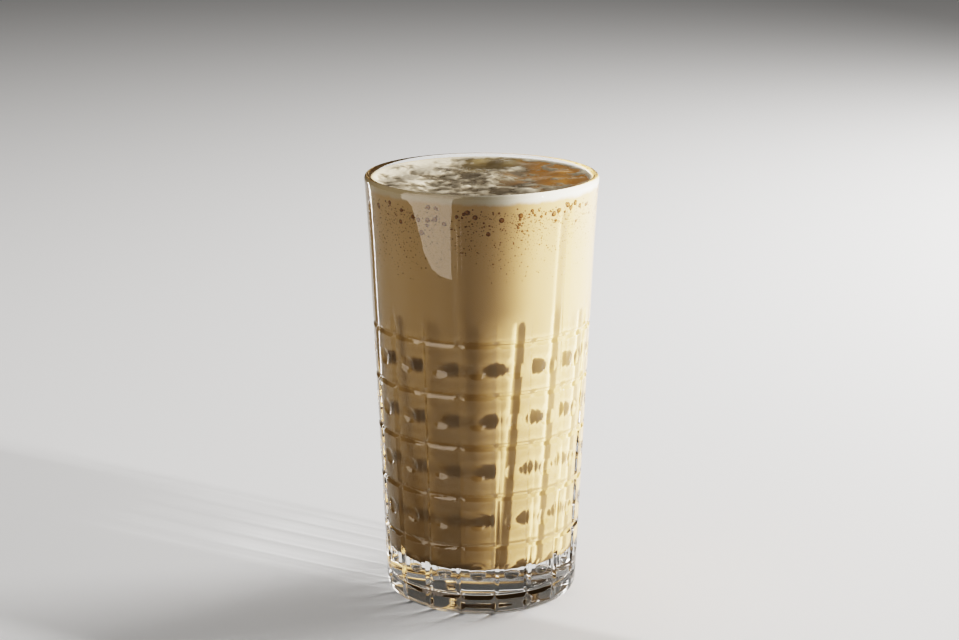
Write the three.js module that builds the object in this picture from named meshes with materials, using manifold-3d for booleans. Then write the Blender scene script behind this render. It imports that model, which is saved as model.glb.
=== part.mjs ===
// A tall pressed-glass tumbler filled almost to the brim with iced milk coffee under a head of froth.
// Millimetres, +Z up. The origin is the middle of the foot, on the table.
// Angles are in degrees, from the front (-Y) towards +X.

import * as THREE from 'three';
import { mergeVertices } from 'three/addons/utils/BufferGeometryUtils.js';
import Module from 'manifold-3d';

// Glass, outside: a straight leaning wall on a rounded heel, with a slight flare under the lip
const GLASS_HEIGHT = 148.2;
const FOOT_RADIUS = 33.2;
const WALL_SLOPE = 0.0427;
const FLARE_START = 120;
const FLARE_WIDTH = 0.47;
const FLARE_STEPS = 3;
const HEEL_RADIUS = 4.2;
const HEEL_STEPS = 3;
const DISH_RADIUS = 23;
const DISH_DEPTH = 1.2;

// Glass, inside: a straight plunger leaves a wall that thins evenly from the thick floor to the rounded lip
const FLOOR_HEIGHT = 15;
const CORNER_RADIUS = 4;
const CORNER_STEPS = 3;
const WALL_AT_FLOOR = 8.6;
const WALL_AT_LIP = 2.6;
const WALL_STEPS = 4;
const LIP_STEPS = 4;

// Pressed pattern: V rings and V columns that cross, with a round dimple in each panel
const RING_COUNT = 6;
const RING_TOP = 97.6;
const RING_PITCH = 17.93;
const RING_WIDTH = 2.4;
const COLUMN_COUNT = 18;
const COLUMN_STEP = 360 / COLUMN_COUNT;
const COLUMN_START = -12.2;
const COLUMN_WIDTH = 3;
const COLUMN_RISE = 7.5;
const COLUMN_TIP = 6;
const LONG_COLUMN_EVERY = 3;
const LONG_COLUMN_TOP = 141;
const GROOVE_DEPTH = 0.8;
const DIMPLE_WIDTH = 6;
const DIMPLE_DEPTH = 0.85;
const DIMPLE_BEND = 0.55;
const DIMPLE_BEND_DEPTH = 0.7;
const DIMPLE_BRIM = 1.4;

// Contents: coffee up to the froth, and lumpy froth up to just under the lip
const GAP = 0.3;
const FROTH_BOTTOM = 124;
const FROTH_LEVEL = 145.6;
const FROTH_EDGE_RISE = 1.5;
const FROTH_EDGE_SHARPNESS = 6;
const CLUMP_COUNT = 46;
const CLUMP_HEIGHT = 0.75;
const CLUMP_WIDTH = 4.6;
const CLUMP_WIDTH_SPREAD = 0.35;
const CLUMP_WIDTH_SWING = 2.3;
const CLUMP_HEIGHT_SWING = 1.7;

// Facets: one flat side of the glass under each column and one under each dimple
const SIDES = 2 * COLUMN_COUNT;
const FIRST_CORNER = COLUMN_START + 180 / SIDES;
const FLAT = Math.cos(Math.PI / SIDES);
const FROTH_SIDES = 60;
const FROTH_RINGS = 12;
const DIMPLE_SIDES = 8;

const wasm = await Module();
wasm.setup();

function radians(degrees) {
  return THREE.MathUtils.degToRad(degrees);
}

function outerRadius(z) {
  const rise = Math.max(0, z - FLARE_START) / (GLASS_HEIGHT - FLARE_START);
  return FOOT_RADIUS + WALL_SLOPE * z + FLARE_WIDTH * rise ** 2;
}

function innerRadius(z) {
  const rise = Math.max(0, z - FLOOR_HEIGHT) / (GLASS_HEIGHT - FLOOR_HEIGHT);
  return outerRadius(z) - THREE.MathUtils.lerp(WALL_AT_FLOOR, WALL_AT_LIP, rise);
}

// Points along a round corner about its centre, from one angle to another
function arc(centreRadius, centreZ, radius, from, to, steps) {
  const points = [];
  for (let i = 0; i <= steps; i += 1) {
    const angle = radians(from + ((to - from) * i) / steps);
    points.push([centreRadius + radius * Math.cos(angle), centreZ + radius * Math.sin(angle)]);
  }
  return points;
}

// Points up a wall whose radius is a function of the height
function wall(radiusAt, from, to, steps) {
  const points = [];
  for (let i = 0; i <= steps; i += 1) {
    const z = from + ((to - from) * i) / steps;
    points.push([radiusAt(z), z]);
  }
  return points;
}

// A profile of [radius, height] pairs turned about the upright axis, with its first corner at an angle
function turned(profile, sides, firstCorner) {
  const points = profile.map(([radius, z]) => new THREE.Vector2(radius, z));
  const geometry = new THREE.LatheGeometry(points, sides, radians(firstCorner), 2 * Math.PI);
  geometry.rotateX(Math.PI / 2);
  geometry.deleteAttribute('normal');
  geometry.deleteAttribute('uv');
  return mergeVertices(geometry, 1e-4);
}

function solidOf(geometry) {
  const vertProperties = new Float32Array(geometry.attributes.position.array);
  const triVerts = new Uint32Array(geometry.index.array);
  return new wasm.Manifold(new wasm.Mesh({ numProp: 3, vertProperties, triVerts }));
}

function geometryOf(solid) {
  const mesh = solid.getMesh();
  const geometry = new THREE.BufferGeometry();
  geometry.setAttribute('position', new THREE.BufferAttribute(mesh.vertProperties, 3));
  geometry.setIndex(new THREE.BufferAttribute(mesh.triVerts, 1));
  return geometry;
}

// Rings are counted downwards from the top one; a half number is the middle of a row of panels
function ringHeight(index) {
  return RING_TOP - index * RING_PITCH;
}

function ringNotch(index) {
  const z = ringHeight(index);
  const low = z - RING_WIDTH / 2;
  const high = z + RING_WIDTH / 2;
  return [[outerRadius(low), low], [outerRadius(z) - GROOVE_DEPTH, z], [outerRadius(high), high]];
}

// The hollow's floor, rounded corner and wall up to a height, all drawn in by an inset
function hollow(top, inset) {
  const cornerZ = FLOOR_HEIGHT + CORNER_RADIUS;
  const cornerCentre = innerRadius(cornerZ) - CORNER_RADIUS;
  return [
    [0, FLOOR_HEIGHT + inset],
    ...arc(cornerCentre, cornerZ, CORNER_RADIUS - inset, 270, 360, CORNER_STEPS),
    ...wall((z) => innerRadius(z) - inset, cornerZ, top, WALL_STEPS).slice(1),
  ];
}

function glassBlank() {
  const heelCentre = outerRadius(HEEL_RADIUS) - HEEL_RADIUS;
  const lipRadius = WALL_AT_LIP / 2;
  const lipZ = GLASS_HEIGHT - lipRadius;
  const lipCentre = (outerRadius(lipZ) + innerRadius(lipZ)) / 2;
  const profile = [0, 0.5, 1].map((share) => [share * DISH_RADIUS, DISH_DEPTH * (1 - share ** 2)]);
  profile.push(...arc(heelCentre, HEEL_RADIUS, HEEL_RADIUS, 270, 360, HEEL_STEPS));
  for (let ring = RING_COUNT - 1; ring >= 0; ring -= 1) {
    profile.push(...ringNotch(ring));
  }
  profile.push(...wall(outerRadius, FLARE_START, lipZ, FLARE_STEPS).slice(0, -1));
  profile.push(...arc(lipCentre, lipZ, lipRadius, 0, 180, LIP_STEPS));
  profile.push(...hollow(lipZ, 0).reverse().slice(1));
  return turned(profile, SIDES, FIRST_CORNER);
}

// A column is cut by a long four-cornered spindle laid along the wall, pointed where the column runs out
function columnCutter(angle, top) {
  const depth = 2 * GROOVE_DEPTH;
  const width = 2 * COLUMN_WIDTH;
  const foot = -COLUMN_TIP;
  const cutter = turned([[0, foot], [1, foot], [1, top - COLUMN_TIP], [0, top + COLUMN_TIP]], 4, 0);
  cutter.scale(width / 2, depth, 1);
  cutter.rotateX(Math.atan(WALL_SLOPE));
  cutter.translate(0, -(FOOT_RADIUS * FLAT + depth - GROOVE_DEPTH), 0);
  cutter.rotateZ(radians(angle));
  return solidOf(cutter);
}

// A dimple is cut by a shallow round bowl that stands a little out of the panel; its flank starts at the bend
function dimpleCutter(angle, z) {
  const edge = DIMPLE_WIDTH / 2;
  const brim = DIMPLE_DEPTH / 2;
  const bend = [DIMPLE_BEND * edge, -DIMPLE_BEND_DEPTH * DIMPLE_DEPTH];
  const bowl = [[0, -DIMPLE_DEPTH], bend, [DIMPLE_BRIM * edge, brim], [0, brim]];
  const cutter = turned(bowl, DIMPLE_SIDES, 0);
  cutter.rotateX(Math.PI / 2 + Math.atan(WALL_SLOPE));
  cutter.translate(0, -outerRadius(z) * FLAT, z);
  cutter.rotateZ(radians(angle));
  return solidOf(cutter);
}

function glass() {
  let solid = solidOf(glassBlank());
  for (let column = 0; column < COLUMN_COUNT; column += 1) {
    const angle = COLUMN_START + column * COLUMN_STEP;
    const isLong = column % LONG_COLUMN_EVERY === 0;
    const top = isLong ? LONG_COLUMN_TOP : RING_TOP + COLUMN_RISE;
    solid = solid.subtract(columnCutter(angle, top));
    for (let row = 0; row < RING_COUNT - 1; row += 1) {
      solid = solid.subtract(dimpleCutter(angle + COLUMN_STEP / 2, ringHeight(row + 0.5)));
    }
  }
  return geometryOf(solid);
}

function drink() {
  const top = FROTH_BOTTOM - GAP;
  return turned([...hollow(top, GAP), [0, top]], SIDES, FIRST_CORNER);
}

// Clumps lie on a sunflower spiral; their width and height swing at two rates that never fall into step
function clump(index, rim) {
  const goldenAngle = Math.PI * (3 - Math.sqrt(5));
  const reach = rim * Math.sqrt((index + 0.5) / CLUMP_COUNT);
  return {
    x: reach * Math.sin(index * goldenAngle),
    y: -reach * Math.cos(index * goldenAngle),
    width: CLUMP_WIDTH * (1 + CLUMP_WIDTH_SPREAD * Math.sin(CLUMP_WIDTH_SWING * index)),
    height: CLUMP_HEIGHT * Math.sin(CLUMP_HEIGHT_SWING * index),
  };
}

function frothTop(x, y, rim, clumps) {
  let z = FROTH_LEVEL + FROTH_EDGE_RISE * (Math.hypot(x, y) / rim) ** FROTH_EDGE_SHARPNESS;
  for (const { x: clumpX, y: clumpY, width, height } of clumps) {
    z += height * Math.exp(-(((x - clumpX) / width) ** 2) - ((y - clumpY) / width) ** 2);
  }
  return z;
}

function froth() {
  const rim = innerRadius(FROTH_LEVEL) * FLAT - GAP;
  const clumps = Array.from({ length: CLUMP_COUNT }, (_, index) => clump(index, rim));
  const profile = [[0, FROTH_BOTTOM], [innerRadius(FROTH_BOTTOM) * FLAT - GAP, FROTH_BOTTOM]];
  for (let ring = FROTH_RINGS; ring >= 0; ring -= 1) {
    profile.push([(rim * ring) / FROTH_RINGS, FROTH_LEVEL]);
  }
  const geometry = turned(profile, FROTH_SIDES, 0);
  const position = geometry.attributes.position;
  for (let i = 0; i < position.count; i += 1) {
    if (position.getZ(i) > FROTH_BOTTOM) {
      position.setZ(i, frothTop(position.getX(i), position.getY(i), rim, clumps));
    }
  }
  return geometry;
}

function piece(name, geometry, look) {
  const mesh = new THREE.Mesh(geometry, new THREE.MeshStandardMaterial(look));
  mesh.name = name;
  return mesh;
}

const group = new THREE.Group();
group.add(piece('glass', glass(), { color: 0xe8eeee, roughness: 0.03, metalness: 0 }));
group.add(piece('drink', drink(), { color: 0xc3a47c, roughness: 0.45, metalness: 0 }));
group.add(piece('froth', froth(), { color: 0xd8c6a8, roughness: 0.4, metalness: 0 }));

export default group;
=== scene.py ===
# %% [markdown]
# # A tall iced coffee in a pressed-glass tumbler
# This lesson dresses a plain model of a frothy iced coffee: clear pressed glass with a grid of
# grooves and dimples, cloudy milk coffee inside it, a lumpy head of froth, and the bubbles that
# show through the wall. The plain model gives the height of the glass and the bottom of the froth,
# and the other sizes are the ones that it was made from.

# %% Open the plain model as the frame
import math

import bpy
import numpy as np
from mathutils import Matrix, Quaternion, Vector, noise


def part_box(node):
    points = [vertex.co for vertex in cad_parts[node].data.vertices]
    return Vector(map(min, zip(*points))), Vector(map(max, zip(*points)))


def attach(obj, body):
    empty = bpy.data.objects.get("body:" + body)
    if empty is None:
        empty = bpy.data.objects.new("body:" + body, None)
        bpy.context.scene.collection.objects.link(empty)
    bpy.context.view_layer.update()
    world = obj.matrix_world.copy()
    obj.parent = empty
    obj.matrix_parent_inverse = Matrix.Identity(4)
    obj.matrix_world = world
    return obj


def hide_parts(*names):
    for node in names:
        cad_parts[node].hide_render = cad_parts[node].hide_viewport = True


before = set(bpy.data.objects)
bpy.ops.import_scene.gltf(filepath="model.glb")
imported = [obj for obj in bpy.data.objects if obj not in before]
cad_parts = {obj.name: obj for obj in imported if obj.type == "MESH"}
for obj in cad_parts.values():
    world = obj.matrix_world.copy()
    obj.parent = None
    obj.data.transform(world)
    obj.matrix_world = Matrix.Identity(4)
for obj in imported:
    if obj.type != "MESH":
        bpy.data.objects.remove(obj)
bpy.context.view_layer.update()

MM = 0.001
glass_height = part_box("glass")[1].z
froth_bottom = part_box("froth")[0].z
print("nodes:", sorted(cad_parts), "glass height in mm:", round(glass_height / MM, 1))

# %% [markdown]
# ## The outline of the glass
# A pressed tumbler is a straight leaning wall on a rounded heel. The plunger that shapes the inside
# is a plain cone, so the wall is thick at the floor and thins evenly towards the lip, which is
# fire-polished round. Two short functions of the height say all of that, and every later piece asks
# them where the glass is.

# %% The glass as two functions of height
foot_radius = 33.2 * MM
wall_slope = 0.0427
flare_start = 120 * MM
flare_width = 0.47 * MM
floor_height = 15 * MM
wall_at_floor = 8.6 * MM
wall_at_lip = 2.6 * MM


def outer_radius(z):
    rise = np.maximum(0.0, z - flare_start) / (glass_height - flare_start)
    return foot_radius + wall_slope * z + flare_width * rise**2


def inner_radius(z):
    rise = np.maximum(0.0, z - floor_height) / (glass_height - floor_height)
    return outer_radius(z) - (wall_at_floor + (wall_at_lip - wall_at_floor) * rise)


print("rim radius in mm:", round(float(outer_radius(glass_height)) / MM, 2))

# %% [markdown]
# ## Turning a profile
# Glass, coffee and froth are all round, so each starts as rings of points about the upright axis.
# A Screw modifier would do, but a small function gives control over where the edges lie: they can
# gather where the pattern needs them and stay few elsewhere.


# %% Helpers that turn a profile into rings of points
def arc(centre, radius, start, end, steps):
    """Points along a round corner of a profile, between two angles in degrees."""
    angles = np.radians(np.linspace(start, end, steps + 1))
    return [(centre[0] + radius * math.cos(a), centre[1] + radius * math.sin(a)) for a in angles]


def placed(angle, radius, z):
    """Points at an angle from the front towards +X."""
    angle, radius, z = np.broadcast_arrays(angle, radius, z)
    return np.stack([radius * np.sin(angle), -radius * np.cos(angle), z], axis=-1)


def turned(profile, angles):
    """Rings of points for a profile of (radius, height) pairs."""
    radius, z = np.array(profile, float).T
    return placed(np.asarray(angles)[None, :], radius[:, None], z[:, None])


print("a point of radius 1 at the front:", placed(0.0, 1.0, 0.0).tolist())


# %% Helpers that turn rings of points into mesh objects
def mesh_object(name, points, faces):
    """A new object in the scene with a mesh of these points and faces."""
    mesh = bpy.data.meshes.new(name)
    mesh.from_pydata(points, [], faces)
    piece = bpy.data.objects.new(name, mesh)
    bpy.context.scene.collection.objects.link(piece)
    return piece


def faces_between(ring):
    """Four-sided faces between neighbouring rings of numbered points."""
    beside = np.roll(ring, -1, axis=1)
    return np.stack([ring[:-1], beside[:-1], beside[1:], ring[1:]], axis=-1).reshape(-1, 4).tolist()


def skin(name, rings, first_z, last_z):
    """A closed mesh object through rings of points, with a middle point at each end."""
    count, around = rings.shape[:2]
    points = np.vstack([[0, 0, first_z], rings.reshape(-1, 3), [0, 0, last_z]])
    ring = 1 + np.arange(count * around).reshape(count, around)
    beside = np.roll(ring, -1, axis=1)
    first_fan = np.stack([np.zeros(around, int), beside[0], ring[0]], axis=-1)
    last_fan = np.stack([ring[-1], beside[-1], np.full(around, len(points) - 1)], axis=-1)
    faces = first_fan.tolist() + faces_between(ring) + last_fan.tolist()
    piece = mesh_object(name, points.tolist(), faces)
    piece.data.shade_smooth()
    return piece


def triangles(piece):
    return sum(len(face.vertices) - 2 for face in piece.data.polygons)


print("faces between two rings of three points:", faces_between(np.arange(6).reshape(2, 3)))

# %% [markdown]
# ## Where the edges go
# The pattern repeats: 18 columns round the wall and rings at an even pitch, with a dimple in each
# panel. Edges are laid out once for half a repeat, close together where the surface turns and wide
# apart where it is plain, and then mirrored and repeated. That keeps the mesh under its budget.

# %% The rows and columns of edges
ring_count, ring_top, ring_pitch, ring_width = 6, 97.6 * MM, 17.93 * MM, 2.4 * MM
column_count, column_start, column_width = 18, math.radians(-12.2), 3.0 * MM
dimple_half = 3.0 * MM
column_step = 2 * math.pi / column_count
ring_bottom = ring_top - (ring_count - 1) * ring_pitch
mean_radius = outer_radius((ring_top + ring_bottom) / 2)
column_arc = column_step * mean_radius
groove_shares = np.array([0, 0.1, 0.28, 0.6, 0.92, 1.0, 1.08])
dimple_shares = np.array([1.07, 1.0, 0.92, 0.7, 0.4, 0])


def one_repeat(length, groove_half, gap_steps):
    """Distances over one repeat, from the middle of a groove to just before the next one."""
    in_groove = groove_half * groove_shares
    in_dimple = length / 2 - dimple_half * dimple_shares
    gap = np.linspace(in_groove[-1], in_dimple[0], gap_steps + 1)[1:-1]
    half = np.concatenate([in_groove, gap, in_dimple])
    return np.concatenate([half, length - half[-2:0:-1]])


one_column = one_repeat(column_arc, column_width / 2, gap_steps=1) / mean_radius
columns = [column_start + k * column_step + one_column for k in range(column_count)]
wall_angles = np.concatenate(columns)
one_row = one_repeat(ring_pitch, ring_width / 2, gap_steps=3)
patterned = np.concatenate([ring_bottom + k * ring_pitch + one_row for k in range(ring_count - 1)])
print("edges round the wall:", len(wall_angles), "rows in the pattern:", len(patterned))

# %% [markdown]
# ## Round outlines on a square grid
# A dimple is round and the grid is square, so its rim would come out as a staircase. The grid's
# square frames round each dimple are therefore slid along the wall until they are circles, and the
# slide fades out before it reaches the grooves.

# %% Slide the edges on to the dimples' rims
slide_end = 1.5


def slid_to_dimples(angle, z):
    across = (((angle - column_start) / column_step) % 1 - 0.5) * column_arc / dimple_half
    up = (0.5 - ((ring_top - z) / ring_pitch) % 1) * ring_pitch / dimple_half
    frame_size = np.maximum(np.abs(across), np.abs(up))
    scale = np.maximum(frame_size, 1.0)
    round_across = across * np.sqrt(1 - (up / scale) ** 2 / 2)
    round_up = up * np.sqrt(1 - (across / scale) ** 2 / 2)
    share = np.clip((slide_end - frame_size) / (slide_end - 1), 0, 1)
    new_angle = angle + share * (round_across - across) * dimple_half / mean_radius
    return new_angle, z + share * (round_up - up) * dimple_half


pattern_angles, pattern_heights = slid_to_dimples(*np.meshgrid(wall_angles, patterned))
largest_slide = np.abs(pattern_heights - patterned[:, None]).max()
print("largest slide up or down in mm:", round(float(largest_slide) / MM, 2))

# %% [markdown]
# ## The blank
# Before it is pressed the glass is a plain tumbler: foot with a shallow dish, heel, wall, lip, inner
# wall and floor, in one closed skin. Its profile is a chain of straight stretches and arcs. The lip's
# arc starts and ends in line with the walls, which lean by different amounts, so the two leans are
# measured first.

# %% Round ends of the profile
dish_radius, dish_depth, dish_steps = 23 * MM, 1.2 * MM, 4
heel_radius, heel_steps = 4.2 * MM, 7
corner_radius, corner_steps = 4 * MM, 5
lip_radius, lip_steps = wall_at_lip / 2, 10
lip_z = glass_height - lip_radius
lip_centre = ((outer_radius(lip_z) + inner_radius(lip_z)) / 2, lip_z)
heel_centre = (outer_radius(heel_radius) - heel_radius, heel_radius)
corner_z = floor_height + corner_radius
corner_centre = (inner_radius(corner_z) - corner_radius, corner_z)

short_way = 1 * MM
outer_lean = math.atan((outer_radius(lip_z) - outer_radius(lip_z - short_way)) / short_way)
inner_lean = math.atan((inner_radius(lip_z) - inner_radius(lip_z - short_way)) / short_way)
lip_from, lip_to = -math.degrees(outer_lean), 180 - math.degrees(inner_lean)
dish_shares = np.linspace(0, 1, dish_steps + 1)[1:]
underside = [(dish_radius * t, dish_depth * (1 - t**2)) for t in dish_shares]
heel = arc(heel_centre, heel_radius, 270, 360, heel_steps)
lip = arc(lip_centre, lip_radius, lip_from, lip_to, lip_steps)
corner = arc(corner_centre, corner_radius, 360, 270, corner_steps)
print("the outer wall leans by", round(-lip_from, 2), "degrees under the lip")

# %% Walls of the profile
short_column_top, long_column_top, column_tip = 105.1 * MM, 141 * MM, 5 * MM
tip_start = long_column_top - column_tip
lip_start = lip_z - lip_radius * math.sin(outer_lean)
rows_over_ring, rows_to_tip, rows_in_tip, rows_under_lip = 7, 8, 9, 4
inner_steps = 7
lower_rows = ring_bottom - ring_width / 2 * groove_shares[:0:-1]
upper_rows = np.concatenate([
    ring_top + ring_width / 2 * groove_shares,
    np.linspace(ring_top + ring_width, short_column_top, rows_over_ring),
    np.linspace(short_column_top, tip_start, rows_to_tip)[1:],
    np.linspace(tip_start, long_column_top, rows_in_tip)[1:],
    np.linspace(long_column_top, lip_start, rows_under_lip)[1:-1],
])
outer_rows = np.concatenate([lower_rows, patterned, upper_rows])
outer_wall = [(outer_radius(z), z) for z in outer_rows]
inner_wall = [(inner_radius(z), z) for z in np.linspace(lip_z, corner_z, inner_steps + 1)[1:-1]]
print("rows up the outer wall:", len(outer_wall), "rows down the inner wall:", len(inner_wall))

# %% [markdown]
# ## The skin and its mark
# The rings of the pattern take their slid places before the skin is drawn over them. Points on the
# heel and the outer wall carry a mark, so that the pattern is pressed into that face alone. A vertex
# group could hold it, but a plain attribute is easier to read in a node tree.

# %% Turn the blank
rings = turned(underside + heel + outer_wall + lip + inner_wall + corner, wall_angles)
first_row = len(underside) + len(heel) + len(lower_rows)
pattern_rows = slice(first_row, first_row + len(patterned))
rings[pattern_rows] = placed(pattern_angles, outer_radius(pattern_heights), pattern_heights)
tumbler = skin("pressed_tumbler", rings, dish_depth, floor_height)

mark = np.zeros(rings.shape[:2], np.float32)
mark[len(underside): len(underside) + len(heel) + len(outer_wall)] = 1.0
outer_mark = tumbler.data.attributes.new("outer_wall", "FLOAT", "POINT")
outer_mark.data.foreach_set("value", np.concatenate([[0], mark.ravel(), [0]]).astype(np.float32))
print("blank triangles:", triangles(tumbler))

# %% [markdown]
# ## Adding nodes
# Trees for shapes and trees for finishes are built from the same steps, so these helpers serve both.
# Each adds one node, sets its numbers or links them to other nodes, and hands back its result.


# %% Helpers that add one node each
def add(tree, kind, inputs=None, **settings):
    """A new node; each input is a plain value or a socket to link."""
    node = tree.nodes.new(kind)
    for key, value in settings.items():
        setattr(node, key, value)
    for key, value in (inputs or {}).items():
        if isinstance(value, bpy.types.NodeSocket):
            tree.links.new(value, node.inputs[key])
        else:
            node.inputs[key].default_value = value
    return node


def sum_of(tree, operation, first, second=0.0, third=0.0):
    return add(tree, "ShaderNodeMath", {0: first, 1: second, 2: third}, operation=operation).outputs[0]


def noise_of(tree, spot, scale, detail=2.0):
    inputs = {"Vector": spot, "Scale": scale, "Detail": detail}
    return add(tree, "ShaderNodeTexNoise", inputs).outputs[0]


def share_of(tree, value, low, high, most=1.0):
    """Rises smoothly from 0 at low to the most at high."""
    inputs = {"Value": value, "From Min": low, "From Max": high, "To Max": most}
    return add(tree, "ShaderNodeMapRange", inputs, interpolation_type="SMOOTHSTEP").outputs[0]


def stretched(tree, spot, factors):
    return add(tree, "ShaderNodeVectorMath", {0: spot, 1: factors}, operation="MULTIPLY").outputs[0]


def length_of(tree, spot):
    return add(tree, "ShaderNodeVectorMath", {0: spot}, operation="LENGTH").outputs["Value"]


def parts_of(tree, spot):
    """The x, y and z of a place."""
    return add(tree, "ShaderNodeSeparateXYZ", {0: spot}).outputs


print("node helpers:", [helper.__name__ for helper in (add, sum_of, noise_of, share_of, stretched)])

# %% [markdown]
# ## Building node trees from sums
# The mould's shape is a sum of simple rules, so the tree that presses it is written here almost as
# arithmetic. A small class keeps the named inputs and makes one Math node for each step.


# %% A helper for Geometry Nodes trees
class Tree:
    """A Geometry Nodes tree with named inputs, built from plain sums."""

    def __init__(self, name):
        self.tree = bpy.data.node_groups.new(name, "GeometryNodeTree")
        self.settings = {}
        for way in ("INPUT", "OUTPUT"):
            self.tree.interface.new_socket("Geometry", in_out=way, socket_type="NodeSocketGeometry")
        self.start = self.tree.nodes.new("NodeGroupInput")
        self.end = self.tree.nodes.new("NodeGroupOutput")

    def size(self, name, value, kind="NodeSocketFloat"):
        """A named number that the modifier sets; returns its socket inside the tree."""
        socket = self.tree.interface.new_socket(name, in_out="INPUT", socket_type=kind)
        self.settings[socket.identifier] = value
        return self.start.outputs[name]

    def node(self, kind, inputs=None, **settings):
        return add(self.tree, kind, inputs, **settings)

    def sum(self, operation, first, second=0.0, third=0.0):
        return sum_of(self.tree, operation, first, second, third)

    def finish(self, geometry, material):
        whole = self.node("GeometryNodeRealizeInstances", {"Geometry": geometry})
        inputs = {"Geometry": whole.outputs[0], "Material": material}
        painted = self.node("GeometryNodeSetMaterial", inputs)
        self.tree.links.new(painted.outputs[0], self.end.inputs[0])


def grow(piece, tree):
    """Runs a tree on a piece and keeps the result as the piece's plain mesh."""
    modifier = piece.modifiers.new(tree.tree.name, "NODES")
    modifier.node_group = tree.tree
    for identifier, value in tree.settings.items():
        modifier[identifier] = value
    graph = bpy.context.evaluated_depsgraph_get()
    mesh = bpy.data.meshes.new_from_object(piece.evaluated_get(graph))
    piece.modifiers.clear()
    piece.data = mesh
    print(tree.tree.name, "gives", triangles(piece), "triangles")


print("a tree can:", [name for name in vars(Tree) if not name.startswith("_")])

# %% [markdown]
# ## Building materials
# Every finish here is a Principled shader with a few nodes in front of it. These helpers add one node
# each, so that a material reads as a short list of steps.


# %% Helpers for materials
def new_material(name):
    material = bpy.data.materials.new(name)
    material.use_nodes = True
    return material, material.node_tree, material.node_tree.nodes["Principled BSDF"]


def mark_of(tree, name):
    """A number that the mesh keeps at each of its points."""
    return add(tree, "ShaderNodeAttribute", attribute_name=name).outputs["Fac"]


def range_of(tree, value, low, high):
    """A share from 0 to 1 turned into a number from low to high."""
    inputs = {"Value": value, "To Min": low, "To Max": high}
    return add(tree, "ShaderNodeMapRange", inputs).outputs[0]


def blend_of(tree, share, first, second):
    """Mixes two colours, each a socket or a linear colour."""
    node = add(tree, "ShaderNodeMix", {0: share}, data_type="RGBA")
    for slot, colour in ((6, first), (7, second)):
        if isinstance(colour, bpy.types.NodeSocket):
            tree.links.new(colour, node.inputs[slot])
        else:
            node.inputs[slot].default_value = (*colour, 1)
    return node.outputs[2]


print("material helpers:", [helper.__name__ for helper in (new_material, mark_of, range_of, blend_of)])

# %% [markdown]
# ## The finish of the glass
# Clear soda glass is colourless in a wall and faintly green through its thick edges. One Principled
# shader with full transmission carries it; its few numbers are the same all over, so they sit on the
# shader's own sockets. Light on its way from a lamp takes a Transparent shader instead. It goes
# straight through a smooth wall, while grooves and dimples bend most of it aside, so each point keeps
# the share of light that it passes on. That is what draws the pattern's shadows on the coffee.

# %% Material of the glass
clear_glass, tree, shader = new_material("clear_pressed_glass")
shader.inputs["Base Color"].default_value = (0.985, 0.995, 0.99, 1)
shader.inputs["Roughness"].default_value = 0.0
shader.inputs["IOR"].default_value = 1.5
shader.inputs["Transmission Weight"].default_value = 1.0
passed_colour = mark_of(tree, "light_passed")
straight = add(tree, "ShaderNodeBsdfTransparent", {"Color": passed_colour}).outputs[0]
rays = add(tree, "ShaderNodeLightPath").outputs
surface = shader.outputs[0]
for ray in ("Is Shadow Ray", "Is Diffuse Ray"):
    surface = add(tree, "ShaderNodeMixShader", {0: rays[ray], 1: surface, 2: straight}).outputs[0]
tree.links.new(surface, tree.nodes["Material Output"].inputs["Surface"])
print("glass nodes:", len(tree.nodes))

# %% [markdown]
# ## Pressing the pattern
# The mould leaves V grooves and round dimples in the wall. Modelling each by hand would be slow and a
# Boolean would leave ragged faces, so the tree works out from each point's place how deep the mould
# reaches there, and pushes the point in by that much. The deepest of ring, column and dimple wins,
# which mitres the grooves where they cross.

# %% Where a point lies on the wall
press = Tree("press_pattern")
place = press.node("GeometryNodeInputPosition").outputs[0]
place_x, place_y, height = parts_of(press.tree, place)
level_place = stretched(press.tree, place, (1, 1, 0))
reach = length_of(press.tree, level_place)
outward = press.node("ShaderNodeVectorMath", {0: level_place}, operation="NORMALIZE").outputs[0]
pitch = press.size("Ring pitch", ring_pitch)
last_ring = press.size("Last ring", ring_count - 1.0)
below_top = press.sum("SUBTRACT", press.size("Ring top", ring_top), height)
rows_down = press.sum("DIVIDE", below_top, pitch)
angle = press.sum("ARCTAN2", place_x, press.sum("MULTIPLY", place_y, -1.0))
from_first = press.sum("SUBTRACT", angle, press.size("First column", column_start))
columns_round = press.sum("DIVIDE", from_first, press.size("Column step", column_step))
repeat_arc = press.size("Column arc", column_arc)
print("named sizes so far:", len(press.settings))

# %% [markdown]
# ## Grooves and dimples
# A V groove is deepest on its middle line and loses depth evenly to both sides, and its bottom is a
# little round, because hot glass never fills a sharp edge. Every third column runs on up to just under
# the lip, and each fades out at its tip. A dimple is a shallow bowl in the middle of its panel.

# %% Depth of the rings
groove_depth = press.size("Groove depth", 0.8 * MM)
softness = press.size("Groove softness", 0.12)
stretch = press.sum("MULTIPLY_ADD", softness, 2.0, 1.0)


def groove(strength, distance, half_width):
    """How deep a point lies in a V groove with a slightly round bottom, from 0 to the strength."""
    across = press.sum("DIVIDE", distance, half_width)
    square = press.sum("MULTIPLY", press.sum("MULTIPLY", across, across), stretch)
    rounded = press.sum("SQRT", press.sum("MULTIPLY_ADD", softness, softness, square))
    left = press.sum("SUBTRACT", strength, press.sum("SUBTRACT", rounded, softness))
    return press.sum("MAXIMUM", left, 0.0)


nearest_ring = press.sum("MAXIMUM", press.sum("ROUND", rows_down), 0.0)
nearest_ring = press.sum("MINIMUM", nearest_ring, last_ring)
from_ring = press.sum("MULTIPLY", press.sum("SUBTRACT", rows_down, nearest_ring), pitch)
in_ring = groove(1.0, from_ring, press.size("Ring half width", ring_width / 2))
ring_depth = press.sum("MULTIPLY", in_ring, groove_depth)
print("nodes for the rings:", len(press.tree.nodes))

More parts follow.
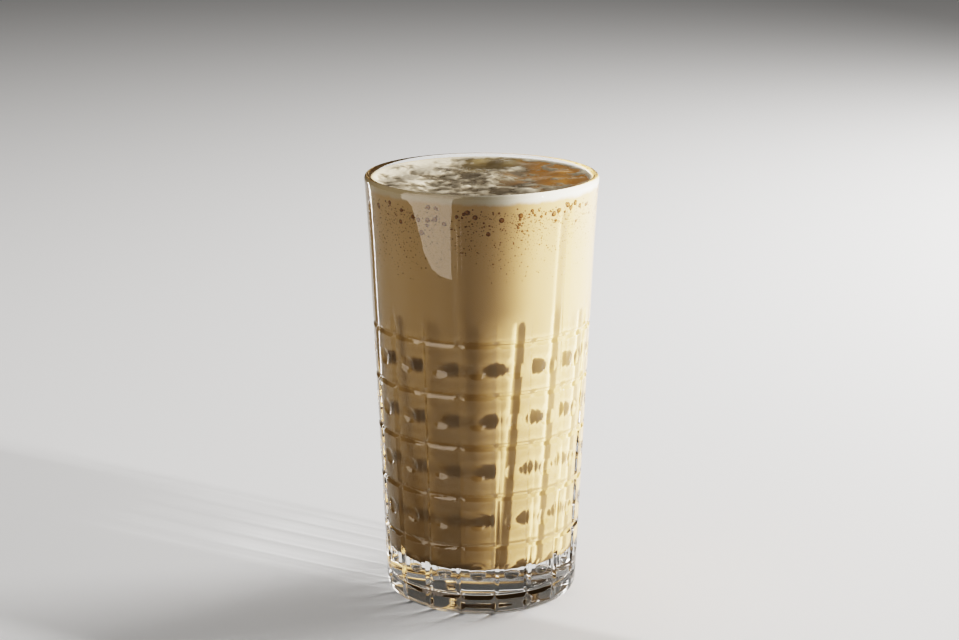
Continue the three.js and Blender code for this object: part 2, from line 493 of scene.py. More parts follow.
# %% Depth of the columns
long_column_every = 3.0
nearest_column = press.sum("ROUND", columns_round)
off_column = press.sum("SUBTRACT", columns_round, nearest_column)
from_column = press.sum("MULTIPLY", off_column, repeat_arc)
between = press.sum("ADD", nearest_column, 0.5)
turn_of_three = press.sum("FLOORED_MODULO", between, long_column_every)
is_long = press.sum("LESS_THAN", turn_of_three, 1.0)
long_extra = press.size("Long column extra", long_column_top - short_column_top)
short_top = press.size("Short column top", short_column_top)
column_top = press.sum("MULTIPLY_ADD", is_long, long_extra, short_top)
to_tip = press.sum("SUBTRACT", column_top, height)
to_tip = press.sum("DIVIDE", to_tip, press.size("Tip length", column_tip))
to_tip = press.sum("MAXIMUM", press.sum("MINIMUM", to_tip, 1.0), 0.0)
strength = press.sum("SQRT", press.sum("MULTIPLY", to_tip, press.sum("SUBTRACT", 2.0, to_tip)))
in_column = groove(strength, from_column, press.size("Column half width", column_width / 2))
column_depth = press.sum("MULTIPLY", in_column, groove_depth)

slope = press.size("Wall slope", wall_slope)
straight_wall = press.sum("MULTIPLY_ADD", height, slope, press.size("Foot radius", foot_radius))
heel_recess = press.sum("MAXIMUM", press.sum("SUBTRACT", straight_wall, reach), 0.0)
column_depth = press.sum("MAXIMUM", press.sum("SUBTRACT", column_depth, heel_recess), 0.0)
print("nodes for rings and columns:", len(press.tree.nodes))

# %% Depth of the dimples
rim_size = press.size("Dimple half width", dimple_half)
off_row = press.sum("SUBTRACT", press.sum("FRACT", rows_down), 0.5)
off_panel = press.sum("SUBTRACT", press.sum("FRACT", columns_round), 0.5)
up_share = press.sum("DIVIDE", press.sum("MULTIPLY", off_row, pitch), rim_size)
side_share = press.sum("DIVIDE", press.sum("MULTIPLY", off_panel, repeat_arc), rim_size)
side_square = press.sum("MULTIPLY", side_share, side_share)
square = press.sum("MULTIPLY_ADD", up_share, up_share, side_square)
bowl = press.sum("MAXIMUM", press.sum("SUBTRACT", 1.0, square), 0.0)
under_top = press.sum("GREATER_THAN", rows_down, 0.0)
over_bottom = press.sum("LESS_THAN", rows_down, last_ring)
in_rows = press.sum("MULTIPLY", under_top, over_bottom)
in_dimple = press.sum("MULTIPLY", bowl, in_rows)
bowl_depth = press.sum("MULTIPLY", in_dimple, press.size("Dimple depth", 0.85 * MM))
print("nodes for the whole pattern:", len(press.tree.nodes))

# %% [markdown]
# ## Light through the pattern
# A hollow in the wall turns light aside: its own shadow is dark, and the light it lost brightens the
# wall just beside it. Each point of the outer wall gets a share for that, so that the shadows on the
# coffee have the soft bright borders that real pressed glass gives them. Tracing the bent light would
# be truer, but takes far longer to come out clean.

# %% Light lost in the hollows
grid_fade_start, grid_fade_end = -0.75, -0.42
extra_loss_in_grid = 0.45
groove_full_loss, dimple_full_loss = 0.3, 0.2
in_grid = share_of(press.tree, rows_down, grid_fade_start, grid_fade_end)
long_loss = press.size("Light lost in long columns", 0.35)
column_share = press.sum("MULTIPLY_ADD", in_grid, extra_loss_in_grid, long_loss)
ring_share = press.size("Light lost in rings", 0.55)
dimple_share = press.size("Light lost in dimples", 0.9)
ring_loss = share_of(press.tree, in_ring, 0.0, groove_full_loss, ring_share)
column_loss = share_of(press.tree, in_column, 0.0, groove_full_loss, column_share)
dimple_loss = share_of(press.tree, in_dimple, 0.0, dimple_full_loss, dimple_share)
most_loss = press.sum("MAXIMUM", press.sum("MAXIMUM", ring_loss, column_loss), dimple_loss)
print("named sizes so far:", len(press.settings))

# %% Light gained beside the hollows
border_width = press.size("Border width", 1.5 * MM)
dimple_border_width = 0.4


def border(distance, width):
    """1 beside a hollow's edge, falling to 0 at a width from it."""
    return press.sum("SUBTRACT", 1.0, share_of(press.tree, distance, 0.0, width))


past_ring = press.sum("SUBTRACT", press.sum("ABSOLUTE", from_ring), ring_width / 2)
ring_gain = press.size("Light beside rings", 0.35)
ring_border = press.sum("MULTIPLY", border(past_ring, border_width), ring_gain)
past_column = press.sum("SUBTRACT", press.sum("MULTIPLY", from_column, -1.0), column_width / 2)
beside_column = press.sum("MULTIPLY", press.sum("GREATER_THAN", past_column, 0.0), strength)
column_border = press.sum("MULTIPLY", border(past_column, border_width), beside_column)
column_border = press.sum("MULTIPLY", column_border, press.size("Light beside columns", 2.2))
column_border = press.sum("MULTIPLY", column_border, column_share)
past_dimple = press.sum("SUBTRACT", press.sum("SQRT", square), 1.0)
dimple_border = press.sum("MULTIPLY", border(past_dimple, dimple_border_width), in_rows)
dimple_border = press.sum("MULTIPLY", dimple_border, press.size("Light beside dimples", 0.35))
gained = press.sum("MAXIMUM", press.sum("MAXIMUM", ring_border, column_border), dimple_border)
plain_pass = press.size("Light through plain wall", 0.85)
open_pass = press.sum("MULTIPLY_ADD", plain_pass, gained, plain_pass)
print("nodes with the light:", len(press.tree.nodes))

# %% [markdown]
# ## The push
# The tree now moves each point of the outer wall in by the deepest hollow there. A slow noise is added,
# because a pressed wall is never quite even, and that is what makes its reflections swim.

# %% Press the wall
wave_scale, wave_detail = 55.0, 1.0
deepest = press.sum("MAXIMUM", press.sum("MAXIMUM", ring_depth, column_depth), bowl_depth)
wave = press.sum("SUBTRACT", noise_of(press.tree, place, wave_scale, wave_detail), 0.5)
waviness = press.sum("MULTIPLY", wave, press.size("Mould waviness", 0.12 * MM))
outer_name = {"Name": "outer_wall"}
is_outer = press.node("GeometryNodeInputNamedAttribute", outer_name, data_type="FLOAT").outputs[0]
inwards = press.sum("MULTIPLY", is_outer, -1.0)
push = press.sum("MULTIPLY", press.sum("ADD", deepest, waviness), inwards)
push_inputs = {0: outward, "Scale": push}
offset = press.node("ShaderNodeVectorMath", push_inputs, operation="SCALE").outputs[0]

kept = press.sum("MULTIPLY", open_pass, press.sum("SUBTRACT", 1.0, most_loss))
stopped = press.sum("MULTIPLY", press.sum("SUBTRACT", 1.0, kept), is_outer)
passed = press.sum("SUBTRACT", 1.0, stopped)
light_inputs = {"Geometry": press.start.outputs[0], "Name": "light_passed", "Value": passed}
marked = press.node("GeometryNodeStoreNamedAttribute", light_inputs, data_type="FLOAT", domain="POINT")
pressed = press.node("GeometryNodeSetPosition", {"Geometry": marked.outputs[0], "Offset": offset})
press.finish(pressed.outputs[0], clear_glass)
grow(tumbler, press)

# %% [markdown]
# ## The coffee
# Milk coffee is so cloudy that light comes back from its first millimetre. Here it is darker towards the
# floor and paler towards the top, and a plain scattering surface does that. It has no gloss of its own,
# because it wets the glass. The body reaches a tenth of a millimetre into the wall, as a film of air
# between the two would turn the wall into a mirror.

# %% Material of the milk coffee
coffee_low = (0.43, 0.28, 0.135)
coffee_high = (0.66, 0.43, 0.208)
pale_depth = 20 * MM
cloud_scale, cloud_detail, cloud_height = 45.0, 3.0, 0.03
grain_scale = 900.0
coffee_roughness = (0.4, 0.7)
milk_coffee, tree, shader = new_material("milk_coffee")
spot = add(tree, "ShaderNodeTexCoord").outputs["Object"]
spot_z = parts_of(tree, spot)[2]
cloud = noise_of(tree, spot, cloud_scale, cloud_detail)
cloud_rise = sum_of(tree, "MULTIPLY_ADD", cloud, cloud_height, -cloud_height / 2)
cloudy_z = sum_of(tree, "ADD", spot_z, cloud_rise)
paleness = share_of(tree, cloudy_z, floor_height, froth_bottom - pale_depth)
tree.links.new(blend_of(tree, paleness, coffee_low, coffee_high), shader.inputs["Base Color"])
coffee_grain = range_of(tree, noise_of(tree, spot, grain_scale), *coffee_roughness)
tree.links.new(coffee_grain, shader.inputs["Roughness"])
shader.inputs["Specular IOR Level"].default_value = 0.0
print("coffee nodes:", len(tree.nodes))

# %% Turn the body of coffee
into_wall = 0.1 * MM
coffee_sides, coffee_rows, coffee_corner_steps = 180, 24, 8
coffee_top_shares = np.array([0.995, 0.5])
coffee_sharp = math.radians(40)
even_angles = np.linspace(0, 2 * math.pi, coffee_sides, endpoint=False)
coffee_heights = np.linspace(corner_z, froth_bottom, coffee_rows)[1:]
coffee_corner = arc(corner_centre, corner_radius + into_wall, 270, 360, coffee_corner_steps)
coffee_wall = [(inner_radius(z) + into_wall, z) for z in coffee_heights]
coffee_top = [(r, froth_bottom) for r in coffee_wall[-1][0] * coffee_top_shares]
coffee_rings = turned(coffee_corner + coffee_wall + coffee_top, even_angles)
coffee = skin("milk_coffee", coffee_rings, floor_height - into_wall, froth_bottom)
coffee.data.set_sharp_from_angle(angle=coffee_sharp)
coffee.data.materials.append(milk_coffee)
print("coffee triangles:", triangles(coffee))

# %% [markdown]
# ## The froth
# The head is whipped milk and coffee: white clumps, wet brown hollows between them, caramel streaks
# and a rim that climbs the wall a little. The plain solid already holds the large clumps, on a
# sunflower spiral. The same rule is repeated here on a much finer mesh, and seeded noise raises
# islands of foam on it. Each point also keeps how foamy and how caramel it is, so that colour and
# relief agree.

# %% The large clumps
froth_level = 145.6 * MM
edge_rise = 1.5 * MM
edge_z = froth_level + edge_rise
clump_count, clump_height, clump_width = 46, 0.75 * MM, 4.6 * MM
width_spread, width_swing, height_swing = 0.35, 2.3, 1.7
golden_angle = math.pi * (3 - math.sqrt(5))
froth_rim = float(inner_radius(edge_z)) + into_wall


def clumps(x, y):
    """Height of the large clumps over the level of the froth."""
    z = np.zeros_like(x)
    for number in range(clump_count):
        spread = froth_rim * math.sqrt((number + 0.5) / clump_count)
        clump_x = spread * math.sin(number * golden_angle)
        clump_y = -spread * math.cos(number * golden_angle)
        width = clump_width * (1 + width_spread * math.sin(width_swing * number))
        swell = np.exp(-((x - clump_x) ** 2 + (y - clump_y) ** 2) / width**2)
        z = z + clump_height * math.sin(height_swing * number) * swell
    return z


print("height of the clumps in the middle in mm:", np.round(clumps(np.zeros(1), np.zeros(1)) / MM, 2))

# %% [markdown]
# ## Islands of foam
# The foam is not spread evenly: it is whitest at the left and along the rim, caramel at the right, and
# ochre at the back, with ragged flecks all over. The extra white at the left is partly the foam's own
# white and partly a painted reflection of light. Painting that by hand would need a picture, so smooth
# steps across the head say where each colour lies and fractal noise tears their borders.

# %% Seeded noise for the froth
noise_roughness, noise_spacing, noise_layers = 1.0, 2.0, 4


def fractal(x, y, size, seed):
    """Seeded noise of a given lump size, about -1 to 1."""
    spots = [Vector((a / size, b / size, seed)) for a, b in zip(x, y)]
    return np.array([noise.fractal(s, noise_roughness, noise_spacing, noise_layers) for s in spots])


def smooth(value, low, high):
    share = np.clip((value - low) / (high - low), 0, 1)
    return share * share * (3 - 2 * share)


print("noise at the middle:", fractal([0.0], [0.0], 1.0, 3.1).round(3))

# %% Where the froth is foamy, caramel and ochre
large_fleck, small_fleck, drift_size = 7.5 * MM, 2.2 * MM, 16 * MM
large_seed, small_seed, drift_seed = 3.1, 7.7, 2.4
small_share, drift_share = 0.35, 0.35
ochre_depth, ochre_middle, ochre_width = (0.25, 0.6), 0.12, (0.15, 0.45)
caramel_side, caramel_turn = (0.2, 0.6), 0.3
white_and_sheen_side, white_turn = (0.3, 0.85), 0.35
white_rim, foam_step = (0.93, 0.985), (-0.4, 0.7)
even_foam, left_foam_and_sheen, caramel_loss, ochre_loss, rim_foam = 0.02, 0.6, 0.3, 0.4, 0.9


def froth_marks(x, y):
    """How foamy, caramel and ochre the froth is: foam at the left, caramel right, ochre at the back."""
    right, back = x / froth_rim, y / froth_rim
    edge = np.hypot(right, back)
    flecks = fractal(x, y, large_fleck, large_seed) + small_share * fractal(x, y, small_fleck, small_seed)
    drift = drift_share * fractal(x, y, drift_size, drift_seed)
    ochre = smooth(back + drift, *ochre_depth) * (1 - smooth(np.abs(right - ochre_middle), *ochre_width))
    # Caramel gathers at the right, the side the key lamp lights: partly the froth's own caramel and partly
    # painted light.
    caramel = smooth(right + caramel_turn * back + drift, *caramel_side)
    # The lean to the left adds white that is partly a painted reflection of light on the wet foam.
    left = smooth(-right + white_turn * back + drift, *white_and_sheen_side)
    lean = even_foam + left_foam_and_sheen * left - caramel_loss * caramel - ochre_loss * ochre
    lean = lean + rim_foam * smooth(edge, *white_rim)
    return smooth(flecks + lean, *foam_step), caramel, ochre


middle_marks = froth_marks(np.zeros(1), np.zeros(1))
print("foam, caramel and ochre in the middle:", [round(float(share[0]), 2) for share in middle_marks])

# %% [markdown]
# ## The head of froth
# The side follows the wall and the top is a disc of rings, lifted point by point by clumps, foam and
# grain. Next to the glass the relief dies away, because the film of froth that wets the wall is level.

# %% Rings of the froth
froth_sides, side_rows, top_rings = 320, 20, 96
side_gap = 0.4 * MM
froth_angles = np.linspace(0, 2 * math.pi, froth_sides, endpoint=False)
side_heights = np.linspace(froth_bottom, edge_z - side_gap, side_rows)
froth_side = [(inner_radius(z) + into_wall, z) for z in side_heights]
froth_top = [(r, edge_z) for r in np.linspace(froth_rim, 0, top_rings)[:-1]]
froth_rings = turned(froth_side + froth_top, froth_angles)
print("rings up the side:", len(froth_side), "rings on the top:", len(froth_top))

# %% Shape the head of froth
foam_height, foam_middle = 0.3 * MM, 0.45
grain_height, grain_size, grain_seed = 0.06 * MM, 1.3 * MM, 1.9
edge_sharpness, calm_start = 6, 0.88
froth_sharp = math.radians(50)
top_points = froth_rings[len(froth_side):].reshape(-1, 3)
top_x, top_y = top_points[:, 0], top_points[:, 1]
foam, caramel, ochre = froth_marks(top_x, top_y)
grain = fractal(top_x, top_y, grain_size, grain_seed)
edge = np.hypot(top_x, top_y) / froth_rim
calm = 1 - smooth(edge, calm_start, 1.0)
relief = clumps(top_x, top_y) + foam_height * (foam - foam_middle) + grain_height * grain
top_points[:, 2] = froth_level + edge_rise * edge**edge_sharpness + calm * relief
froth_rings[len(froth_side):] = top_points.reshape(len(froth_top), -1, 3)
froth = skin("froth_head", froth_rings, froth_bottom, top_points[-len(froth_angles):, 2].mean())
froth.data.set_sharp_from_angle(angle=froth_sharp)
print("froth triangles:", triangles(froth), "foamy share:", round(float(foam.mean()), 2))

# %% Keep the marks on the froth's points
wall_film = (0.985, 0.995)
against_wall = smooth(edge, *wall_film)
marks = {"foam": foam, "caramel": caramel, "ochre": ochre, "against_wall": against_wall}
for name, values in marks.items():
    side_values = np.full(1 + len(froth_side) * len(froth_angles), name == "against_wall", float)
    whole = np.concatenate([side_values, values, values[-1:]]).astype(np.float32)
    froth.data.attributes.new(name, "FLOAT", "POINT").data.foreach_set("value", whole)
print("marks on the froth:", list(marks))

# %% [markdown]
# ## The finish of the froth
# Wet froth is a mix of colours: white where the foam stands high, beige on its slopes, brown in the
# hollows. The white is partly a painted highlight, and the brown of the hollows is partly painted shade.
# One plain colour would look like plaster. The marks on the points choose between the colours, fine noise
# and fibres break them up, and the fine noise also makes pits in the surface. Against the glass the froth
# is smooth and has no gloss, because it wets the wall.

# %% Colours of the froth's top
# The white of the foam islands is partly their own colour and partly a painted highlight.
foam_white_and_sheen = (0.86, 0.76, 0.6)
foam_beige = (0.5, 0.42, 0.31)
# Grey-brown of the hollows: their own wet colour with painted shade in it.
wet_hollow_and_shade = (0.27, 0.22, 0.155)
# This caramel is made brighter than the froth's own to stand in for lamp light on the right: partly
# painted light.
caramel_and_lit_brown = (0.8, 0.4, 0.125)
ochre_brown = (0.29, 0.215, 0.105)
fine_scale, fine_detail, fine_swing = 800.0, 3.0, 0.6
fibre_scale, fibre_detail, fibre_share = 420.0, 3.0, 0.35
fibre_stretch, fibre_step = (0.35, 1, 1), (0.35, 0.7)
beige_step, white_step = (0.05, 0.5), (0.5, 1.1)
froth_paint, tree, shader = new_material("milk_froth")
spot = add(tree, "ShaderNodeTexCoord").outputs["Object"]
mark_sockets = {name: mark_of(tree, name) for name in marks}
fine_noise = noise_of(tree, spot, fine_scale, fine_detail)
fine = sum_of(tree, "MULTIPLY_ADD", fine_noise, fine_swing, -fine_swing / 2)
fibre_spot = stretched(tree, spot, fibre_stretch)
fibres = share_of(tree, noise_of(tree, fibre_spot, fibre_scale, fibre_detail), *fibre_step)
wet = blend_of(tree, mark_sockets["caramel"], wet_hollow_and_shade, caramel_and_lit_brown)
wet = blend_of(tree, mark_sockets["ochre"], wet, ochre_brown)
wet = blend_of(tree, sum_of(tree, "MULTIPLY", fibres, fibre_share), wet, foam_beige)
foamy = sum_of(tree, "ADD", mark_sockets["foam"], fine)
half_foamy = blend_of(tree, share_of(tree, foamy, *beige_step), wet, foam_beige)
top_colour = blend_of(tree, share_of(tree, foamy, *white_step), half_foamy, foam_white_and_sheen)
print("froth nodes for the top:", len(tree.nodes))

# %% Colours of the froth's side, and its gloss
# The band of froth against the glass is painted paler cream towards the right, where the key lamp shines:
# painted light.
lit_cream_edge = (0.76, 0.7, 0.58)
beige_edge = (0.68, 0.53, 0.34)
ragged_scale, ragged_height = 260.0, 2.0 * MM
edge_start, edge_end = froth_level - 0.6 * MM, froth_level + 1.2 * MM
lit_cream_start, lit_cream_end = -12 * MM, 14 * MM
froth_roughness, froth_gloss, pit_depth = (0.22, 0.6), 0.5, 0.12 * MM
spot_x, _, spot_z = parts_of(tree, spot)
ragged = sum_of(tree, "MULTIPLY_ADD", noise_of(tree, spot, ragged_scale), ragged_height, spot_z)
side_rise = share_of(tree, ragged, edge_start, edge_end)
lit_side_share = share_of(tree, spot_x, lit_cream_start, lit_cream_end)
edge_colour = blend_of(tree, lit_side_share, beige_edge, lit_cream_edge)
side_colour = blend_of(tree, side_rise, coffee_high, edge_colour)
froth_colour = blend_of(tree, mark_sockets["against_wall"], top_colour, side_colour)
tree.links.new(froth_colour, shader.inputs["Base Color"])
tree.links.new(range_of(tree, foamy, *froth_roughness), shader.inputs["Roughness"])
off_wall = sum_of(tree, "MULTIPLY_ADD", mark_sockets["against_wall"], -froth_gloss, froth_gloss)
tree.links.new(off_wall, shader.inputs["Specular IOR Level"])
pit_inputs = {"Strength": off_wall, "Distance": pit_depth, "Height": fine}
pits = add(tree, "ShaderNodeBump", pit_inputs).outputs[0]
tree.links.new(pits, shader.inputs["Normal"])
froth.data.materials.append(froth_paint)
print("froth nodes in all:", len(tree.nodes))

# %% [markdown]
# ## Bubbles against the wall
# Where the froth meets the glass its larger bubbles show as brown discs, and thousands of fine
# ones thin out below them. Placing them by hand would never look loose enough. A tree scatters points over
# a band of the wall, denser towards the top and in drifts, and sets a flattened ball on each. The
# balls have few faces, because there are so many of them.

# %% Material of the bubbles
# Each bubble has painted shade at its rim, darker than its lighter middle, over its own brown.
bubble_middle = (0.31, 0.15, 0.042)
bubble_shaded_rim = (0.18, 0.085, 0.026)
shaded_rim_step, bubble_roughness = (0.35, 0.9), (0.3, 0.5)
bubble_paint, tree, shader = new_material("coffee_bubble")
from_middle = mark_of(tree, "from_middle")
bubble_colour = blend_of(tree, share_of(tree, from_middle, *shaded_rim_step), bubble_middle, bubble_shaded_rim)
tree.links.new(bubble_colour, shader.inputs["Base Color"])
tree.links.new(range_of(tree, from_middle, *bubble_roughness), shader.inputs["Roughness"])
shader.inputs["Specular IOR Level"].default_value = 0.1
print("bubble nodes:", len(tree.nodes))

# %% How crowded the bubbles are, and their ball
drift_scale, drift_contrast, drift_cut = 60.0, 4.0, 1.2


def crowding(scatter, low_z, high_z, density, thinning):
    """Bubbles to a square metre: more towards the top of the band, and in drifts."""
    spot = scatter.node("GeometryNodeInputPosition").outputs[0]
    low = scatter.size("Lowest", low_z)
    high = scatter.size("Highest", high_z)
    over_low = scatter.sum("SUBTRACT", parts_of(scatter.tree, spot)[2], low)
    rise = scatter.sum("DIVIDE", over_low, scatter.sum("SUBTRACT", high, low))
    rise = scatter.sum("MAXIMUM", rise, 0.0)
    drift = noise_of(scatter.tree, spot, drift_scale)
    drift = scatter.sum("MULTIPLY_ADD", drift, drift_contrast, -drift_cut)
    drift = scatter.sum("MAXIMUM", drift, 0.0)
    crowd = scatter.sum("POWER", rise, scatter.size("Thinning", thinning))
    crowd = scatter.sum("MULTIPLY", crowd, drift)
    return scatter.sum("MULTIPLY", crowd, scatter.size("Density", density))


def marked_ball(scatter, segments, rings):
    """A ball that keeps how far each of its points is from the line through its poles."""
    ball_inputs = {"Radius": 1.0, "Segments": segments, "Rings": rings}
    ball = scatter.node("GeometryNodeMeshUVSphere", ball_inputs).outputs[0]
    place = scatter.node("GeometryNodeInputPosition").outputs[0]
    middle = length_of(scatter.tree, stretched(scatter.tree, place, (1, 1, 0)))
    inputs = {"Geometry": ball, "Name": "from_middle", "Value": middle}
    kind = "GeometryNodeStoreNamedAttribute"
    return scatter.node(kind, inputs, data_type="FLOAT", domain="POINT").outputs[0]


print("a drift starts where its noise is over", drift_cut / drift_contrast)

# %% The tree that scatters bubbles
size_skew, flatness = 2.5, 0.3


def bubble_tree(name, band, density, thinning, sizes, seed, ball):
    """Flattened balls on a band of wall; sizes are the smallest and largest radius."""
    scatter = Tree(name)
    number = scatter.size("Seed", seed, "NodeSocketInt")
    crowd = crowding(scatter, *band, density, thinning)
    point_inputs = {"Mesh": scatter.start.outputs[0], "Density": crowd, "Seed": number}
    points = scatter.node("GeometryNodeDistributePointsOnFaces", point_inputs, distribute_method="RANDOM")
    draw = scatter.node("FunctionNodeRandomValue", {"Seed": number}, data_type="FLOAT")
    skew = scatter.sum("POWER", draw.outputs[1], size_skew)
    spread = scatter.size("Size spread", sizes[1] - sizes[0])
    size = scatter.sum("MULTIPLY_ADD", skew, spread, scatter.size("Smallest", sizes[0]))
    flat_size = scatter.sum("MULTIPLY", size, flatness)
    scale = scatter.node("ShaderNodeCombineXYZ", {0: size, 1: size, 2: flat_size})
    bubbles = scatter.node("GeometryNodeInstanceOnPoints", {
        "Points": points.outputs["Points"],
        "Instance": marked_ball(scatter, *ball),
        "Rotation": points.outputs["Rotation"],
        "Scale": scale.outputs[0],
    })
    whole = scatter.node("GeometryNodeRealizeInstances", {"Geometry": bubbles.outputs[0]})
    smooth_bubbles = scatter.node("GeometryNodeSetShadeSmooth", {"Geometry": whole.outputs[0]})
    scatter.finish(smooth_bubbles.outputs[0], bubble_paint)
    return scatter


print("a bubble is", flatness, "times as deep as it is wide")

# %% Scatter the bubbles
band_rows = 16


def wall_band(name, low_z, high_z):
    """A strip of the coffee's side, where bubbles gather."""
    rows = [(inner_radius(z) + into_wall, z) for z in np.linspace(low_z, high_z, band_rows)]
    points = turned(rows, even_angles)
    ring = np.arange(points.shape[0] * points.shape[1]).reshape(points.shape[:2])
    return mesh_object(name, points.reshape(-1, 3).tolist(), faces_between(ring))


large_band = (134 * MM, 143.5 * MM)
large_bubbles = wall_band("large_bubbles", *large_band)
large_scatter = bubble_tree(
    "large_bubble_scatter", large_band, density=330000.0, thinning=0.9,
    sizes=(0.24 * MM, 1.05 * MM), seed=11, ball=(8, 5),
)
grow(large_bubbles, large_scatter)
fine_band = (116 * MM, 142 * MM)
fine_bubbles = wall_band("fine_bubbles", *fine_band)
fine_scatter = bubble_tree(
    "fine_bubble_scatter", fine_band, density=1700000.0, thinning=1.5,
    sizes=(0.12 * MM, 0.32 * MM), seed=4, ball=(6, 3),
)
grow(fine_bubbles, fine_scatter)

# %% [markdown]
# ## Camera and floor
# The camera is a short telephoto lens a little above the rim, looking slightly down. The floor is a
# plain pale sheet without gloss. It is kept from throwing light up into the coffee, because a white
# sheet under the glass would wash out the shadows of the pattern.

# %% Camera
lens_length, sensor_width = 79.49, 36.0
camera_place = (0, -0.7077, 0.28255)
look_down, look_aside = math.radians(14.72), math.radians(0.058)
camera_data = bpy.data.cameras.new("photo_camera")
camera_data.sensor_width = sensor_width
camera_data.lens = lens_length
camera = bpy.data.objects.new("photo_camera", camera_data)
camera.location = camera_place
camera.rotation_euler = (math.radians(90) - look_down, 0, look_aside)
bpy.context.scene.collection.objects.link(camera)
bpy.context.scene.camera = camera
print("camera distance in m:", round(math.hypot(*camera_place), 2))

# %% Floor
floor_half = 4.0
floor_corners = [(x * floor_half, y * floor_half, 0) for x, y in ((-1, -1), (1, -1), (1, 1), (-1, 1))]
floor = mesh_object("pale_floor", floor_corners, [(0, 1, 2, 3)])
floor_paint, tree, shader = new_material("pale_floor")
shader.inputs["Base Color"].default_value = (0.8, 0.8, 0.81, 1)
shader.inputs["Roughness"].default_value = 0.6
shader.inputs["Specular IOR Level"].default_value = 0.0
floor.data.materials.append(floor_paint)
floor.visible_diffuse = False
print("floor width in m:", 2 * floor_half)

# %% [markdown]
# ## Lights
# A small key lamp far to the right throws the pattern's shadows on the coffee. Two softboxes, one
# at the right behind the glass and one at the left, fill the shaded sides and are kept out of
# reflections. Cards of light close to the glass do the opposite: they draw the soft reflections on the
# smooth wall and along its edge, and are kept off the coffee. A large softbox overhead keeps the floor
# pale.

# %% A helper for lamps
mid_glass = glass_height / 2
warm_white = (1.0, 0.98, 0.95)


def softbox(name, azimuth, elevation, distance, size, watts, colour=warm_white, aim_z=mid_glass, roll=0):
    """A soft rectangular lamp, by angles in degrees; azimuth runs from the front to +X."""
    lamp = bpy.data.lights.new(name, "AREA")
    lamp.shape = "RECTANGLE"
    lamp.size, lamp.size_y = size
    lamp.energy = watts
    lamp.color = colour
    holder = bpy.data.objects.new(name, lamp)
    round_angle, up_angle = math.radians(azimuth), math.radians(elevation)
    level = math.cos(up_angle)
    away = Vector((math.sin(round_angle) * level, -math.cos(round_angle) * level, math.sin(up_angle)))
    holder.location = Vector((0, 0, aim_z)) + distance * away
    turn = Quaternion((0, 0, 1), math.radians(roll))
    holder.rotation_euler = (away.to_track_quat("Z", "Y") @ turn).to_euler()
    holder.visible_camera = False
    bpy.context.scene.collection.objects.link(holder)
    return holder


print("middle of the glass in mm:", round(mid_glass / MM, 1))

# %% Lamps and cards
key_azimuth, card_azimuth = 60, -52
cool_white, low_peach, high_peach = (1.0, 1.0, 0.98), (1.0, 0.9, 0.83), (1.0, 0.88, 0.8)
softbox("key_lamp", azimuth=key_azimuth, elevation=4, distance=2.5, size=(0.09, 0.09), watts=125.0)
side_softbox = softbox(
    "side_softbox", azimuth=115, elevation=8, distance=1.2, size=(0.6, 0.34), watts=36.0,
)
low_card = softbox(
    "low_card", azimuth=card_azimuth, elevation=0, distance=0.3,
    size=(0.3, 0.2), watts=0.5, colour=low_peach, aim_z=0.14, roll=-8,
)
high_card = softbox(
    "high_card", azimuth=card_azimuth, elevation=0, distance=0.3,
    size=(0.36, 0.3), watts=1.15, colour=high_peach, aim_z=0.43,
)
left_softbox = softbox(
    "left_softbox", azimuth=-54, elevation=7, distance=1.0,
    size=(0.85, 0.24), watts=2.5, colour=cool_white,
)
edge_card = softbox(
    "edge_card", azimuth=-135, elevation=0, distance=0.25,
    size=(0.02, 0.15), watts=0.06, aim_z=0.075,
)
softbox(
    "overhead_softbox", azimuth=180, elevation=75, distance=1.6,
    size=(1.2, 1.2), watts=6.0, aim_z=0.0,
)
for lamp in (side_softbox, left_softbox):
    lamp.visible_glossy = False
for card in (low_card, high_card, edge_card):
    card.visible_diffuse = False

# %% [markdown]
# ## A net beside the key lamp
# A photographer ends a lamp's light softly by hanging a net at its side. This one is a sheet near the
# glass whose points pass all the light along one border and none a little further on, so the key light
# fades out across the coffee. Each row gives a height, and where the fade starts and ends, in
# millimetres. The net shows in nothing but the shadow it casts.

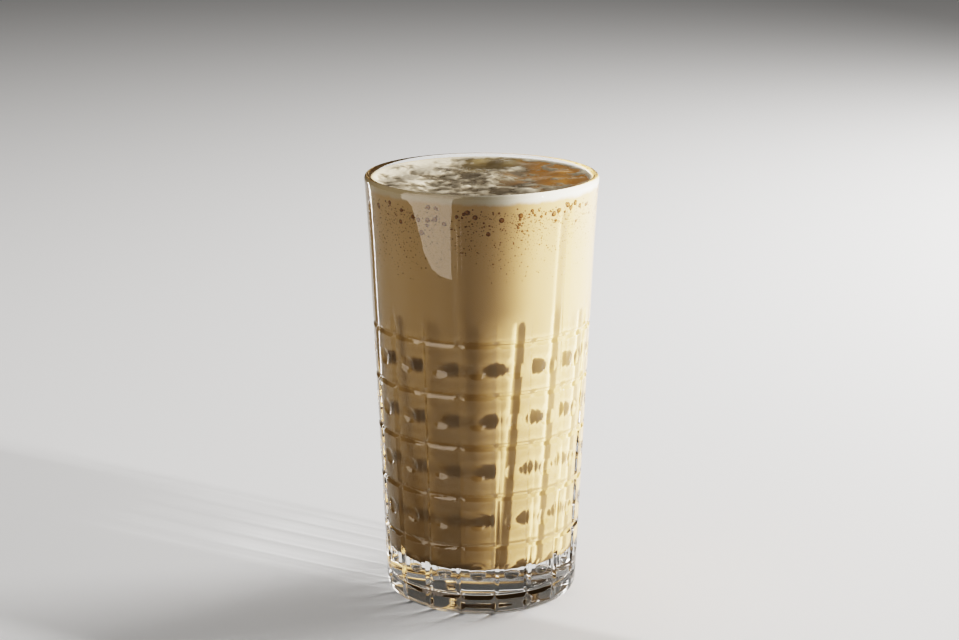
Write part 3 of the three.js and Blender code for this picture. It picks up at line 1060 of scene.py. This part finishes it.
# %% A graduated net beside the key lamp
net_distance = 0.22
net_rows = ((0, 17.0, 18.0), (112, 22.6, 23.6), (117, 16.5, 26.0), (250, 23.5, 33.0))
net_far_edge = 100
net_turn = math.radians(key_azimuth)
net_foot = Vector((math.sin(net_turn), -math.cos(net_turn), 0)) * net_distance
net_side = Vector((-math.cos(net_turn), -math.sin(net_turn), 0))
net_points = [
    net_foot + net_side * u * MM + Vector((0, 0, z * MM))
    for z, thin, full in net_rows
    for u in (thin, full, net_far_edge)
]
net_faces = [
    (row + side, row + side + 1, row + side + 4, row + side + 3)
    for row in range(0, len(net_points) - 3, 3)
    for side in (0, 1)
]
net = mesh_object("graduated_net", net_points, net_faces)
net_shares = [1.0, 0.0, 0.0] * len(net_rows)
net.data.attributes.new("light_passed", "FLOAT", "POINT").data.foreach_set("value", net_shares)
net_cloth, tree, shader = new_material("graduated_net")
net_passed = mark_of(tree, "light_passed")
weave = add(tree, "ShaderNodeBsdfTransparent", {"Color": net_passed}).outputs[0]
tree.links.new(weave, tree.nodes["Material Output"].inputs["Surface"])
net.data.materials.append(net_cloth)
for sight in ("camera", "glossy", "transmission", "diffuse"):
    setattr(net, "visible_" + sight, False)
print("faces of the net:", len(net_faces))

# %% [markdown]
# ## Surroundings and tone
# A dim warm sky stands for the light that a room throws back from its walls. The Filmic tone curve
# keeps the pale coffee from burning out, and its strongest contrast gives the picture the depth that
# a curve for soft light would flatten.

# %% Dim sky
sky_strength = 0.075
world = bpy.data.worlds.new("studio")
world.use_nodes = True
sky = world.node_tree.nodes["Background"].inputs
sky["Color"].default_value = (1.0, 0.98, 0.93, 1)
sky["Strength"].default_value = sky_strength
bpy.context.scene.world = world
print("sky strength:", sky_strength)

# %% Tone of the picture
view = bpy.context.scene.view_settings
view.view_transform = "Filmic"
view.look = "Very High Contrast"
print("tone:", view.view_transform, view.look)

# %% [markdown]
# ## Hand over
# Each piece is hung from the body that carries it, and the plain solid it takes the place of is hidden.
# The bubbles stand for no solid of their own: they are part of the froth's look, so they only ride along.

# %% Tie the pieces to the frame
for piece, node, slot in (
    (tumbler, "glass", "clear_glass"),
    (coffee, "drink", "milk_coffee"),
    (froth, "froth", "froth"),
):
    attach(piece, "root")
    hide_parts(node)
for piece in (large_bubbles, fine_bubbles):
    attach(piece, "root")
